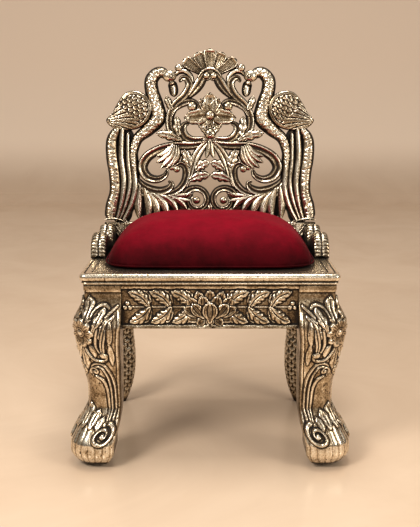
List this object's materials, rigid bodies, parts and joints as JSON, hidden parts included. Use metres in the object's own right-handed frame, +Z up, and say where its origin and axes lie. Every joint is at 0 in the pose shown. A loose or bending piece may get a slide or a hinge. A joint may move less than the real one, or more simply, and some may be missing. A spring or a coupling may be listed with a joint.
{
  "type": "carved throne",
  "caption": "Low ceremonial seat in silver-sheathed carved wood: cabriole legs, lotus apron, pierced swan back with shell crest, loose domed velvet cushion.",
  "frame": {"origin": "on the floor, under the middle of the whole throne's box", "axes": "+Z up, the sitter faces -Y, +X to the right of someone who looks at the front"},
  "size_m": [0.6764, 0.5604, 1.0049],
  "materials": {
    "silver": "antique silver sheet over carved wood, bright on the high relief and dark brown in the recesses",
    "dark_silver": "the same silver sheet, duller and browner on the rear legs and the side and rear aprons",
    "velvet": "deep red velvet with a soft sheen"
  },
  "bodies": {
    "root": {"seat_board": "silver", "front_leg_left": "silver", "front_leg_right": "silver", "rear_leg_left": "dark_silver", "rear_leg_right": "dark_silver", "front_apron": "silver", "rear_apron": "dark_silver", "left_side_apron": "dark_silver", "right_side_apron": "dark_silver", "swan_post_left": "silver", "swan_post_right": "silver", "pierced_back_panel": "silver", "arm_scroll_left": "silver", "arm_scroll_right": "silver", "cushion": "velvet"}
  },
  "joints": []
}
